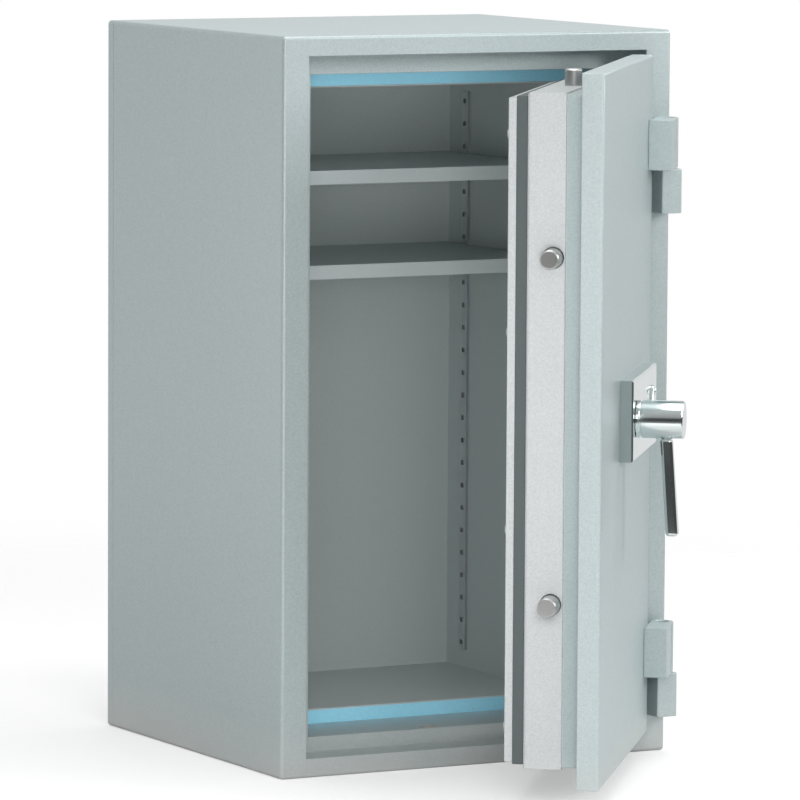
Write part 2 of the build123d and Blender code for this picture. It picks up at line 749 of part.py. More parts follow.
# Lock plate on the face of the door, bored for the spindle and cut with the keyhole
with BuildPart() as lock_plate:
    block(door_depth(0), plate_centre, (plate_width, plate_height), plate_thickness)
    plate_face = lock_plate.faces().sort_by(Axis((0, 0, 0), outward))[-1]
    chamfer(plate_face.edges(), plate_edge_radius)
    rod(door_depth(0), (handle_x, handle_z), plate_bore_radius, plate_thickness, Mode.SUBTRACT)
    rod(door_depth(0), (key_x, handle_z), keyhole_radius, plate_thickness, Mode.SUBTRACT)
    block(door_depth(0), (key_x, handle_z - keyhole_drop / 2), (keyhole_slot, keyhole_drop),
          plate_thickness, Mode.SUBTRACT)
    rod(door_depth(-plate_thickness + rivet_depth), (key_x, handle_z + cover_pivot_rise),
        rivet_radius + press_fit, rivet_depth, Mode.SUBTRACT)
save(lock_plate.part, "lock_plate")

# Swinging keyhole cover, hung on a rivet above the keyhole
with BuildPart() as keyhole_cover:
    cover_front_depth = -plate_thickness - face_gap
    with BuildSketch(door_depth(cover_front_depth)) as cover_outline:
        with Locations((key_x, handle_z)):
            Circle(cover_disc_radius)
        with Locations((key_x, handle_z + cover_pivot_rise)):
            Circle(cover_pivot_radius)
        make_hull()
        with Locations((key_x, handle_z + cover_pivot_rise)):
            Circle(rivet_radius + running_fit, mode=Mode.SUBTRACT)
    extrude(cover_outline.sketch, amount=cover_disc_thickness)
    cover_outer = keyhole_cover.faces().sort_by(Axis((0, 0, 0), outward))[-1]
    chamfer(cover_outer.outer_wire().edges(), cover_disc_chamfer)
save(keyhole_cover.part, "keyhole_cover")

with BuildPart() as cover_rivet:
    rivet_centre = (key_x, handle_z + cover_pivot_rise)
    rivet_shoulder = -plate_thickness - 2 * face_gap - cover_disc_thickness
    rod(door_depth(-plate_thickness + rivet_depth), rivet_centre, rivet_radius,
        -plate_thickness + rivet_depth - rivet_shoulder)
    rod(door_depth(rivet_shoulder), rivet_centre, rivet_head_radius, rivet_head_height)
    rivet_top = cover_rivet.faces().sort_by(Axis((0, 0, 0), outward))[-1]
    chamfer(rivet_top.edges(), rivet_chamfer)
save(cover_rivet.part, "cover_rivet")

# Handle barrel on the spindle, with a groove near its foot
barrel_foot = -plate_thickness - face_gap
with BuildPart() as handle_barrel:
    rod(door_depth(barrel_foot), (handle_x, handle_z), barrel_radius, barrel_length)
    barrel_face = handle_barrel.faces().sort_by(Axis((0, 0, 0), outward))[-1]
    chamfer(barrel_face.edges(), barrel_chamfer)
    groove_plane = door_depth(barrel_foot - groove_start)
    with BuildSketch(groove_plane) as groove:
        with Locations((handle_x, handle_z)):
            Circle(barrel_radius + groove_depth)
            Circle(barrel_radius - groove_depth, mode=Mode.SUBTRACT)
    extrude(groove.sketch, amount=groove_width, mode=Mode.SUBTRACT)
    rod(door_depth(barrel_foot), (handle_x, handle_z), spindle_radius + press_fit,
        barrel_foot - spindle_front, Mode.SUBTRACT)
    lever_y = y_at(-plate_thickness - lever_root_offset)
    rod(door_level(handle_z - barrel_radius), (handle_x, lever_y),
        lever_stem_radius + press_fit, lever_stem_length, Mode.SUBTRACT)
save(handle_barrel.part, "handle_barrel")

# Lever that hangs from the barrel, widening and leaning outwards towards its end
with BuildPart() as handle_lever:
    lever_top = handle_z - barrel_radius
    for share in (0.0, 1.0):
        width = lever_root_width + share * (lever_end_width - lever_root_width)
        with BuildSketch(door_level(lever_top - share * lever_length)):
            with Locations((handle_x, lever_y - share * lever_splay)):
                RectangleRounded(width, lever_thickness, lever_corner)
    loft(ruled=True)
    chamfer(handle_lever.faces().sort_by(Axis.Z)[0].edges(), lever_end_chamfer)
    rod(door_level(lever_top - lever_stem_root), (handle_x, lever_y), lever_stem_radius,
        lever_stem_root + lever_stem_length)
save(handle_lever.part, "handle_lever")
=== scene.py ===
import json
import logging
from collections.abc import Callable
from dataclasses import dataclass
from enum import Enum
from functools import cache
from math import cos, pi, radians, sin

import bmesh
import bpy
from mathutils import Matrix, Vector


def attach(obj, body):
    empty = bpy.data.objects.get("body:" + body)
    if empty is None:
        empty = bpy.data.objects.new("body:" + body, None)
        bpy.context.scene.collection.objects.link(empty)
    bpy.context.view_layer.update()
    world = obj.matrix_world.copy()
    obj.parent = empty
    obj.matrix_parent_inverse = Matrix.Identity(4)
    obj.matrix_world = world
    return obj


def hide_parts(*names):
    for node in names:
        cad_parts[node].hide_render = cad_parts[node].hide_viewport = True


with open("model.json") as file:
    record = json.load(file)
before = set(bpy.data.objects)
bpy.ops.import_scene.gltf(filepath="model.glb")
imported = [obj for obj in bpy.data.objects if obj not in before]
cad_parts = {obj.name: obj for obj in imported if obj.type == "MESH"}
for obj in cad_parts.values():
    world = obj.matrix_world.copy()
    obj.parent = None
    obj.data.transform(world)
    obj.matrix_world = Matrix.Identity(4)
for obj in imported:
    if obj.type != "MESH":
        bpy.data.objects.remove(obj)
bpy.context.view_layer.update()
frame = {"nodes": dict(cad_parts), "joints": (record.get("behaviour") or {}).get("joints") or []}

# The looks of a document safe cabinet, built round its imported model.
# Lengths are in metres, and the angles in fields are in degrees. A depth is counted
# backwards from the front face of the safe. The handle and the screws of the door's cover
# are modelled with the door closed, then swung open.

log = logging.getLogger("safe_looks")
Colour = tuple[float, float, float]
Point = tuple[float, float, float]
Pair = tuple[float, float]

MM = 0.001
WHITE = (1.0, 1.0, 1.0)
FRONT_Y = -210.0 * MM
DOOR_MIDDLE_Z = 381.75 * MM
CUT_TOLERANCE = 1e-7
WELD_TOLERANCE = 5e-6
FLAT_DEGREES = 0.4
FACING_SHARE = 0.99
UP_TO_BACK = Matrix.Rotation(radians(-90.0), 4, "X")


class Body(Enum):
    """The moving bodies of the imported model."""

    CABINET = "cabinet"
    DOOR = "door"
    HANDLE = "handle"
    SIDE_BOLTS = "side_boltwork"
    TOP_BOLT = "top_boltwork"
    BOTTOM_BOLT = "bottom_boltwork"
    KEY_COVER = "key_cover"


class Slot(Enum):
    """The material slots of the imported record."""

    SILVER = "silver_paint"
    INNER = "inner_paint"
    PALE = "pale_paint"
    BLUE = "blue_plastic"
    SEAL = "dark_seal"
    FILLING = "fire_filling"
    ZINC = "zinc_steel"
    MACHINED = "machined_steel"
    BOLT = "bolt_steel"
    BRASS = "brass"
    CHROME = "chrome"


class Graph:
    """A node tree while it is wired up."""

    def __init__(self, tree: bpy.types.NodeTree) -> None:
        """Keep the tree that the nodes go into.

        Args:
            tree: The tree to build in.
        """
        self.tree = tree

    def add(self, kind: str, values: dict[str | int, object] | None = None,
            **settings: object) -> bpy.types.Node:
        """Add a node.

        Args:
            kind: Blender's name of the node type.
            values: Numbers, or outputs to link, of its input sockets, by name or place.
            settings: The node's own settings.

        Returns:
            The new node.
        """
        node = self.tree.nodes.new(kind)
        for key, value in settings.items():
            setattr(node, key, value)
        for key, value in (values or {}).items():
            if isinstance(value, bpy.types.NodeSocket):
                self.wire(value, node.inputs[key])
            else:
                node.inputs[key].default_value = value
        return node

    def wire(self, source: bpy.types.NodeSocket, target: bpy.types.NodeSocket) -> None:
        """Link an output to an input."""
        self.tree.links.new(source, target)

    def maths(self, operation: str, *values: bpy.types.NodeSocket | float,
              ) -> bpy.types.NodeSocket:
        """Calculate with outputs and numbers.

        Args:
            operation: The Math node's operation.
            values: Output sockets or numbers.

        Returns:
            The result's output socket.
        """
        return self.add("ShaderNodeMath", dict(enumerate(values)),
                        operation=operation).outputs[0]

    def fade(self, value: bpy.types.NodeSocket, limits: Pair,
             results: Pair) -> bpy.types.NodeSocket:
        """Pass smoothly from one result to another.

        Args:
            value: The value that decides.
            limits: Where the passage begins and ends.
            results: The results before and after it.

        Returns:
            The result's output socket.
        """
        return self.add("ShaderNodeMapRange", {
            "Value": value, "From Min": limits[0], "From Max": limits[1],
            "To Min": results[0], "To Max": results[1]},
            interpolation_type="SMOOTHSTEP").outputs[0]


def shared_group(name: str, values: dict[str, float | Point],
                 results: tuple[str, ...]) -> tuple[Graph, bpy.types.Node]:
    """Start a shader node group that takes a place and some values.

    Args:
        name: The group's name.
        values: First value of each input after the place, by name.
        results: Names of its outputs, which are numbers.

    Returns:
        The graph, and the group's input node.
    """
    tree = bpy.data.node_groups.new(name, "ShaderNodeTree")
    tree.interface.new_socket(name="Vector", in_out="INPUT", socket_type="NodeSocketVector")
    for key, value in values.items():
        kind = "NodeSocketVector" if isinstance(value, tuple) else "NodeSocketFloat"
        tree.interface.new_socket(name=key, in_out="INPUT",
                                  socket_type=kind).default_value = value
    for key in results:
        tree.interface.new_socket(name=key, in_out="OUTPUT", socket_type="NodeSocketFloat")
    graph = Graph(tree)
    return graph, graph.add("NodeGroupInput")


class Effects:
    """The shader node groups that several finishes share, each built once."""

    @staticmethod
    @cache
    def grain() -> bpy.types.NodeTree:
        """Build the fine grain of a powder coat: a flake for each cell and a soft height.

        Returns:
            The node group.
        """
        graph, start = shared_group("fine_grain", {"Scale": 900.0, "Flake": 0.5},
                                    ("Value", "Height"))
        place, scale = start.outputs["Vector"], start.outputs["Scale"]
        peel_share = 0.55
        cells = graph.add("ShaderNodeTexVoronoi", {"Vector": place, "Scale": scale},
                          feature="F1")
        flake = graph.add("ShaderNodeSeparateColor", {0: cells.outputs["Color"]})
        peel = graph.add("ShaderNodeTexNoise", {
            "Vector": place, "Scale": graph.maths("MULTIPLY", scale, peel_share),
            "Detail": 3.0, "Roughness": 0.6})
        blend = graph.add("ShaderNodeMix", {
            0: start.outputs["Flake"], 2: peel.outputs[0], 3: flake.outputs[0]})
        graph.add("NodeGroupOutput", {"Value": blend.outputs[0], "Height": peel.outputs[0]})
        return graph.tree

    @staticmethod
    @cache
    def clouds() -> bpy.types.NodeTree:
        """Build the broad, faint change of tone over a panel, with a little dust low down.

        Returns:
            The node group.
        """
        graph, start = shared_group("panel_clouds", {"Scale": 5.0, "Dust Height": 0.06},
                                    ("Tone", "Dust"))
        place = start.outputs["Vector"]
        broad = graph.add("ShaderNodeTexNoise", {
            "Vector": place, "Scale": start.outputs["Scale"], "Detail": 4.0,
            "Roughness": 0.55})
        parts = graph.add("ShaderNodeSeparateXYZ", {0: place})
        share = graph.maths("DIVIDE", parts.outputs[2], start.outputs["Dust Height"])
        low = graph.maths("MAXIMUM", graph.maths("SUBTRACT", 1.0, share), 0.0)
        graph.add("NodeGroupOutput", {
            "Tone": broad.outputs[0], "Dust": graph.maths("MULTIPLY", low, broad.outputs[0])})
        return graph.tree

    @staticmethod
    @cache
    def drawn() -> bpy.types.NodeTree:
        """Build the fine parallel lines of rolled, drawn or ground steel.

        Returns:
            The node group.
        """
        graph, start = shared_group(
            "drawn_lines", {"Across": (40.0, 40.0, 2500.0), "Wear Scale": 60.0},
            ("Lines", "Wear"))
        place = start.outputs["Vector"]
        stretch = graph.add("ShaderNodeVectorMath", {0: place, 1: start.outputs["Across"]},
                            operation="MULTIPLY")
        lines = graph.add("ShaderNodeTexNoise", {
            "Vector": stretch.outputs[0], "Scale": 1.0, "Detail": 3.0})
        wear = graph.add("ShaderNodeTexNoise", {
            "Vector": place, "Scale": start.outputs["Wear Scale"], "Detail": 5.0,
            "Roughness": 0.65})
        graph.add("NodeGroupOutput", {"Lines": lines.outputs[0], "Wear": wear.outputs[0]})
        return graph.tree


class Shader:
    """A Principled material while it is built."""

    def __init__(self, name: str, **sockets: object) -> None:
        """Start a material.

        Args:
            name: The material's name.
            sockets: Plain values of the Principled node, with underscores for spaces.
        """
        self.material = bpy.data.materials.new(name)
        self.material.use_nodes = True
        self.graph = Graph(self.material.node_tree)
        self.surface = self.material.node_tree.nodes["Principled BSDF"]
        for key, value in sockets.items():
            self.surface.inputs[key.replace("_", " ")].default_value = value
        self.place = self.graph.add("ShaderNodeTexCoord").outputs["Object"]

    def effect(self, tree: bpy.types.NodeTree, **values: object) -> bpy.types.Node:
        """Place a shared effect on the object's own coordinates.

        Args:
            tree: The effect's node group.
            values: Values of its inputs, with underscores for spaces.

        Returns:
            The group node.
        """
        named = {key.replace("_", " "): value for key, value in values.items()}
        return self.graph.add("ShaderNodeGroup", {"Vector": self.place, **named},
                              node_tree=tree)

    def ramp(self, value: bpy.types.NodeSocket, low: float, high: float) -> bpy.types.NodeSocket:
        """Spread a value from 0..1 to low..high.

        Args:
            value: The value to spread.
            low: Result at 0.
            high: Result at 1.

        Returns:
            The result's socket.
        """
        return self.graph.add("ShaderNodeMapRange", {
            "Value": value, "To Min": low, "To Max": high}).outputs[0]

    def tint(self, share: bpy.types.NodeSocket, first: bpy.types.NodeSocket | Colour,
             second: Colour) -> bpy.types.NodeSocket:
        """Mix two colours by a share.

        Args:
            share: 0 for the first, 1 for the second.
            first: The first colour, or an output that gives it.
            second: The second colour.

        Returns:
            The mixed colour's socket.
        """
        start = first if isinstance(first, bpy.types.NodeSocket) else (*first, 1.0)
        return self.graph.add("ShaderNodeMix", {0: share, 6: start, 7: (*second, 1.0)},
                              data_type="RGBA").outputs[2]

    def around(self, share: bpy.types.NodeSocket, colour: Colour,
               spread: float) -> bpy.types.NodeSocket:
        """Spread a colour about itself.

        Args:
            share: 0 for the darkest, 1 for the lightest.
            colour: The colour in the middle.
            spread: How far the ends lie from it, as a share of it.

        Returns:
            The colour's socket.
        """
        return self.tint(share, shade(colour, 1 - spread), shade(colour, 1 + spread))

    def feed(self, socket: str, value: bpy.types.NodeSocket) -> None:
        """Link a value that changes over the surface to a Principled input."""
        self.graph.wire(value, self.surface.inputs[socket])

    def bump(self, height: bpy.types.NodeSocket, strength: float, distance: float) -> None:
        """Give the surface a relief.

        Args:
            height: The relief's height, from 0 to 1.
            strength: How much of it is used.
            distance: Its depth in metres.
        """
        node = self.graph.add("ShaderNodeBump", {
            "Height": height, "Strength": strength, "Distance": distance})
        self.feed("Normal", node.outputs[0])


def shade(colour: Colour, factor: float) -> Colour:
    """Make a colour lighter or darker by a factor, up to white."""
    return tuple(min(1.0, part * factor) for part in colour)


@dataclass(frozen=True)
class PaintFinish:
    """Powder coat with fine flakes, a slight orange peel and faint dust low down."""

    name: str
    colour: Colour
    roughness: float = 0.45
    swing: float = 0.08
    metallic: float = 0.25
    spread: float = 0.10
    grain: float = 900.0
    flake: float = 0.6
    relief: float = 0.25
    depth: float = 0.25 * MM
    coat: float = 0.12
    coat_roughness: float = 0.35
    cloud_scale: float = 5.0
    clouding: float = 0.12
    cloud_gain: float = 1.18
    dust: Colour | None = (0.62, 0.61, 0.58)

    def material(self) -> bpy.types.Material:
        """Build the surface.

        Returns:
            The material.
        """
        shader = Shader(self.name, Metallic=self.metallic, Coat_Weight=self.coat,
                        Coat_Roughness=self.coat_roughness)
        grain = shader.effect(Effects.grain(), Scale=self.grain, Flake=self.flake)
        clouds = shader.effect(Effects.clouds(), Scale=self.cloud_scale)
        flakes = shader.around(grain.outputs["Value"], self.colour, self.spread)
        tone = shader.ramp(clouds.outputs["Tone"], 0.0, self.clouding)
        colour = shader.tint(tone, flakes, shade(self.colour, self.cloud_gain))
        if self.dust is not None:
            colour = shader.tint(clouds.outputs["Dust"], colour, self.dust)
        shader.feed("Base Color", colour)
        shader.feed("Roughness", shader.ramp(
            grain.outputs["Height"], self.roughness - self.swing, self.roughness + self.swing))
        shader.bump(grain.outputs["Height"], self.relief, self.depth)
        return shader.material


@dataclass(frozen=True)
class MatteFinish(PaintFinish):
    """Moulded plastic, seal or cast filling: a surface with coarser grain and no coat."""

    swing: float = 0.07
    metallic: float = 0.0
    spread: float = 0.12
    grain: float = 500.0
    flake: float = 0.15
    relief: float = 0.3
    depth: float = 0.3 * MM
    coat: float = 0.0
    cloud_scale: float = 14.0
    clouding: float = 0.25
    cloud_gain: float = 1.25
    dust: Colour | None = None


@dataclass(frozen=True)
class SteelFinish:
    """Bare, plated or polished metal with drawn lines and faint wear."""

    name: str
    colour: Colour
    roughness: float
    swing: float
    across: Point = (40.0, 40.0, 2500.0)
    relief: float = 0.05
    depth: float = 0.05 * MM
    wear: float = 60.0
    spread: float = 0.07

    def material(self) -> bpy.types.Material:
        """Build the metal.

        Returns:
            The material.
        """
        shader = Shader(self.name, Metallic=1.0)
        drawn = shader.effect(Effects.drawn(), Across=self.across, Wear_Scale=self.wear)
        shader.feed("Base Color",
                    shader.around(drawn.outputs["Wear"], self.colour, self.spread))
        rough = shader.graph.maths("MULTIPLY", drawn.outputs["Lines"], drawn.outputs["Wear"])
        shader.feed("Roughness", shader.ramp(rough, self.roughness,
                                             self.roughness + self.swing))
        shader.bump(drawn.outputs["Lines"], self.relief, self.depth)
        return shader.material


def finishes() -> dict[Slot, bpy.types.Material]:
    """Build the finish of each material slot.

    Returns:
        The materials by slot.
    """
    chosen = {
        Slot.SILVER: PaintFinish("silver_powder_coat", (0.47, 0.545, 0.55), spread=0.13,
                                 metallic=0.5, roughness=0.42),
        Slot.INNER: PaintFinish("inner_powder_coat", (0.47, 0.53, 0.53), spread=0.05,
                                roughness=0.36, metallic=0.1, relief=0.15),
        Slot.PALE: PaintFinish("pale_powder_coat", (0.455, 0.485, 0.49), spread=0.14,
                               roughness=0.5, metallic=0.1, relief=0.5),
        Slot.BLUE: MatteFinish("blue_moulding", (0.31, 0.68, 0.86), roughness=0.38,
                               relief=0.15),
        Slot.SEAL: MatteFinish("seal_strip", (0.074, 0.090, 0.092), roughness=0.62,
                               grain=700.0),
        Slot.FILLING: MatteFinish("cast_filling", (0.55, 0.53, 0.49), roughness=0.85,
                                  grain=260.0, relief=0.6, depth=0.8 * MM),
        Slot.ZINC: SteelFinish("zinc_plate", (0.62, 0.64, 0.66), roughness=0.32, swing=0.25),
        Slot.MACHINED: SteelFinish("machined_steel", (0.46, 0.47, 0.48), roughness=0.30,
                                   swing=0.3, across=(900.0, 900.0, 900.0)),
        Slot.BOLT: SteelFinish("turned_bolt_steel", (0.60, 0.61, 0.60), roughness=0.30,
                               swing=0.25, across=(700.0, 700.0, 700.0), relief=0.12),
        Slot.BRASS: SteelFinish("bearing_brass", (0.70, 0.53, 0.26), roughness=0.28,
                                swing=0.2),
        Slot.CHROME: SteelFinish("polished_chrome", (0.70, 0.76, 0.76), roughness=0.06,
                                 swing=0.12, across=(30.0, 30.0, 30.0), relief=0.0,
                                 wear=25.0),
    }
    return {slot: finish.material() for slot, finish in chosen.items()}


@dataclass(frozen=True)
class DoorPlace:
    """Where the door stands: its hinge axis, and the angle that it is open at rest."""

    axis_x: float
    axis_y: float
    angle: float

    @classmethod
    def from_frame(cls, joints: list[dict]) -> "DoorPlace":
        """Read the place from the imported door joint.

        Args:
            joints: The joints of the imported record.

        Returns:
            The door's place.
        """
        hinge = next(joint for joint in joints if joint["name"] == "door_hinge")
        return cls(hinge["pos_m"][0], hinge["pos_m"][1], -hinge["range_deg"][0])

    def matrix(self) -> Matrix:
        """Give the turn that carries the closed door to where it stands open.

        Returns:
            The matrix.
        """
        axis = Matrix.Translation((self.axis_x, self.axis_y, 0.0))
        return axis @ Matrix.Rotation(radians(self.angle), 4, "Z") @ axis.inverted()


@dataclass(frozen=True)
class Fold:
    """How the edges of a folded or machined piece are rounded.

    Edges that turn by more than least_angle are rounded. Those that still turn by more
    than crease afterwards stay sharp to the eye. Both are in degrees.
    """

    radius: float
    segments: int = 3
    least_angle: float = 50.0
    crease: float = 38.0


def linked(name: str, data: bpy.types.ID) -> bpy.types.Object:
    """Put a new object into the scene.

    Args:
        name: The object's name.
        data: The mesh, light or camera that it holds.

    Returns:
        The object.
    """
    holder = bpy.data.objects.new(name, data)
    bpy.context.scene.collection.objects.link(holder)
    return holder


def finished_mesh(name: str, work: bmesh.types.BMesh,
                  crease: float | None = None) -> bpy.types.Mesh:
    """Turn geometry in work into a mesh.

    Args:
        name: The mesh's name.
        work: The geometry, which is freed.
        crease: Shade the mesh smooth, but keep edges sharp that turn by more degrees.

    Returns:
        The mesh.
    """
    mesh = bpy.data.meshes.new(name)
    work.to_mesh(mesh)
    work.free()
    if crease is not None:
        for polygon in mesh.polygons:
            polygon.use_smooth = True
        mesh.set_sharp_from_angle(angle=radians(crease))
    return mesh


def cut_across(work: bmesh.types.BMesh, point: Point | Vector,
               normal: Point | Vector) -> None:
    """Add edges where a plane crosses the geometry, and keep both sides.

    Args:
        work: The geometry.
        point: A point of the plane.
        normal: The plane's normal.
    """
    bmesh.ops.bisect_plane(work, geom=[*work.verts, *work.edges, *work.faces],
                           dist=CUT_TOLERANCE, plane_co=point, plane_no=normal)


def bridge(work: bmesh.types.BMesh, low: list[bmesh.types.BMVert],
           high: list[bmesh.types.BMVert]) -> None:
    """Join two closed loops by a band of faces.

    Args:
        work: The geometry.
        low: The first loop, or the one vertex of a tip.
        high: The second loop, or the one vertex of a tip.
    """
    steps = max(len(low), len(high))
    for step in range(steps):
        after = (step + 1) % steps
        if len(low) == 1:
            work.faces.new((low[0], high[step], high[after]))
        elif len(high) == 1:
            work.faces.new((low[step], high[0], low[after]))
        else:
            work.faces.new((low[step], high[step], high[after], low[after]))


class Bench:
    """Makes and dresses the pieces."""

    def __init__(self, materials: dict[Slot, bpy.types.Material], door: DoorPlace) -> None:
        """Keep the finishes and the door's place.

        Args:
            materials: The finishes by slot.
            door: Where the door stands.
        """
        self.materials = materials
        self.door = door
        self.nodes: dict[str, bpy.types.Object] = frame["nodes"]

    def dress(self, names: tuple[str, ...], slot: Slot) -> None:
        """Give carried CAD nodes a finish.

        Args:
            names: The nodes.
            slot: The finish.
        """
        for name in names:
            mesh = self.nodes[name].data
            mesh.materials.clear()
            mesh.materials.append(self.materials[slot])
        log.info("dressed %s in %s", ", ".join(names), slot.value)

    def place(self, name: str, mesh: bpy.types.Mesh, slot: Slot, body: Body,
              replaces: tuple[str, ...] = ()) -> bpy.types.Object:
        """Put a finished mesh into the scene on its body.

        Args:
            name: The piece's name.
            mesh: Its mesh, already in the safe's own frame.
            slot: Its finish.
            body: The body that it rides on.
            replaces: The CAD nodes that it stands for.

        Returns:
            The piece.
        """
        mesh.materials.clear()
        mesh.materials.append(self.materials[slot])
        piece = linked(name, mesh)
        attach(piece, body.value)
        if replaces:
            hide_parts(*replaces)
        log.info("made %s with %d faces", name, len(mesh.polygons))
        return piece

    def settle(self, mesh: bpy.types.Mesh,
               build: Callable[[bpy.types.Object], None]) -> bpy.types.Mesh:
        """Run modifiers over a mesh and keep the plain result.

        Args:
            mesh: The mesh to start from.
            build: A function that adds modifiers to the object it is given.

        Returns:
            The finished mesh.
        """
        piece = linked("in_work", mesh)
        build(piece)
        bpy.context.view_layer.update()
        graph = bpy.context.evaluated_depsgraph_get()
        result = bpy.data.meshes.new_from_object(
            piece.evaluated_get(graph), preserve_all_data_layers=True, depsgraph=graph)
        piece.modifiers.clear()
        bpy.data.objects.remove(piece)
        return result

    def rounded(self, mesh: bpy.types.Mesh, fold: Fold) -> bpy.types.Mesh:
        """Round the sharp edges of a mesh and keep its flat faces flat to the eye.

        Args:
            mesh: The mesh to round.
            fold: How the edges are rounded.

        Returns:
            The rounded mesh.
        """
        def bevel(piece: bpy.types.Object) -> None:
            """Add the bevel that rounds the edges.

            Args:
                piece: The object in work.
            """
            modifier = piece.modifiers.new("folds", "BEVEL")
            modifier.width = fold.radius
            modifier.segments = fold.segments
            modifier.limit_method = "ANGLE"
            modifier.angle_limit = radians(fold.least_angle)
            modifier.use_clamp_overlap = False

        def even(piece: bpy.types.Object) -> None:
            """Add the modifier that evens the shading of flat faces.

            Args:
                piece: The object in work.
            """
            modifier = piece.modifiers.new("even_shading", "WEIGHTED_NORMAL")
            modifier.mode = "FACE_AREA"
            modifier.weight = 100
            modifier.keep_sharp = True

        for polygon in mesh.polygons:
            polygon.use_smooth = True
        folded = self.settle(mesh, bevel)
        folded.set_sharp_from_angle(angle=radians(fold.crease))
        return self.settle(folded, even)

    def softened(self, names: tuple[str, ...], name: str, fold: Fold, slot: Slot, body: Body,
                 cuts: tuple[float, ...] = (),
                 hidden: Callable[[bmesh.types.BMFace], bool] | None = None,
                 shape: Callable[[bmesh.types.BMesh], None] | None = None,
                 ) -> bpy.types.Object:
        """Rebuild CAD nodes as one welded piece with rounded edges.

        Args:
            names: The nodes that the piece stands for.
            name: The piece's name.
            fold: How its edges are rounded.
            slot: Its finish.
            body: The body that it rides on.
            cuts: X of the upright planes where the nodes meet.
            hidden: A test that says whether a face lies hidden in a weld.
            shape: A function that changes the welded geometry before its edges are rounded.

        Returns:
            The piece.
        """
        work = bmesh.new()
        for node in names:
            work.from_mesh(self.nodes[node].data)
        for cut in cuts:
            cut_across(work, (cut, 0.0, 0.0), (1.0, 0.0, 0.0))
        bmesh.ops.remove_doubles(work, verts=work.verts, dist=WELD_TOLERANCE)
        if hidden is not None:
            bmesh.ops.delete(work, geom=[face for face in work.faces if hidden(face)],
                             context="FACES")
        bmesh.ops.dissolve_limit(work, angle_limit=radians(FLAT_DEGREES), verts=work.verts,
                                 edges=work.edges)
        if shape is not None:
            shape(work)
        mesh = finished_mesh(name, work)
        return self.place(name, self.rounded(mesh, fold), slot, body, names)


def turned_mesh(name: str, profile: list[Pair], centre: Point,
                segments: int = 96, crease: float = 28.0) -> bpy.types.Mesh:
    """Turn a profile about an axis that points out of the closed door.

    Args:
        name: The mesh's name.
        profile: Radius and distance along the axis, from the foot to the tip.
        centre: Foot of the axis, with the door closed.
        segments: Steps round the axis.
        crease: Angle in degrees beyond which an edge stays sharp.

    Returns:
        The closed mesh, faces outwards.
    """
    work = bmesh.new()
    rings = []
    for radius, rise in profile:
        angles = [2 * pi * step / segments for step in range(segments)] if radius else [0.0]
        rings.append([work.verts.new((centre[0] + radius * cos(angle), centre[1] - rise,
                                      centre[2] + radius * sin(angle))) for angle in angles])
    for low, high in zip(rings, rings[1:]):
        bridge(work, low, high)
    bmesh.ops.recalc_face_normals(work, faces=work.faces)
    return finished_mesh(name, work, crease)


@dataclass
class SafeBody:
    """The painted carcass, the inner box with its frame, shelves and rails."""

    bench: Bench
    half_throat: float = 177.0 * MM
    throat_low: float = 35.5 * MM
    throat_high: float = 728.0 * MM
    rim_plane: float = -198.0 * MM
    weld_gap: float = 0.02 * MM
    sheet_fold: float = 0.6 * MM
    inner_fold: float = 0.5 * MM

    def in_weld(self, face: bmesh.types.BMFace) -> bool:
        """Tell whether a face lies where two members of the carcass are welded.

        Args:
            face: The face to test.

        Returns:
            True where the face is hidden in a weld.
        """
        middle = face.calc_center_median()
        across = (abs(face.normal.x) > FACING_SHARE
                  and abs(abs(middle.x) - self.half_throat) < self.weld_gap)
        beyond = middle.z > self.throat_high or middle.z < self.throat_low
        at_rim = (abs(face.normal.y) > FACING_SHARE
                  and abs(middle.y - self.rim_plane) < self.weld_gap)
        return (across and beyond) or at_rim

    def build(self) -> None:
        """Make the pieces of the body and dress those that stay as they are."""
        bench = self.bench
        sheet = Fold(self.sheet_fold)
        lining = Fold(self.inner_fold)
        bench.softened(
            ("outer_shell", "frame_left", "frame_right", "frame_head", "frame_sill"),
            "painted_carcass", sheet, Slot.SILVER, Body.CABINET,
            cuts=(-self.half_throat, self.half_throat), hidden=self.in_weld)
        for node, name, fold, slot in (
                ("back_panel", "rear_panel", sheet, Slot.SILVER),
                ("seal_frame", "blue_seal_frame", sheet, Slot.BLUE),
                ("inner_box", "folded_inner_box", lining, Slot.INNER),
                ("shelf_upper", "folded_shelf_upper", lining, Slot.INNER),
                ("shelf_lower", "folded_shelf_lower", lining, Slot.INNER)):
            bench.softened((node,), name, fold, slot, Body.CABINET)
        bench.dress(("shelf_rails_left", "shelf_rails_right", "shelf_clips_upper",
                     "shelf_clips_lower"), Slot.ZINC)
        bench.dress(("body_filling",), Slot.FILLING)


@dataclass
class HingePair:
    """The two welded pin hinges."""

    bench: Bench
    edge: float = 1.0 * MM

    def build(self) -> None:
        """Make the blocks and dress the pins and washers."""
        for place in ("lower", "upper"):
            self.bench.softened(("frame_hinge_" + place,), "frame_block_" + place,
                                Fold(self.edge), Slot.SILVER, Body.CABINET)
            self.bench.softened(("door_hinge_" + place,), "door_block_" + place,
                                Fold(self.edge), Slot.SILVER, Body.DOOR)
            self.bench.dress(("hinge_pin_" + place,), Slot.MACHINED)
            self.bench.dress(("hinge_washer_" + place,), Slot.BRASS)


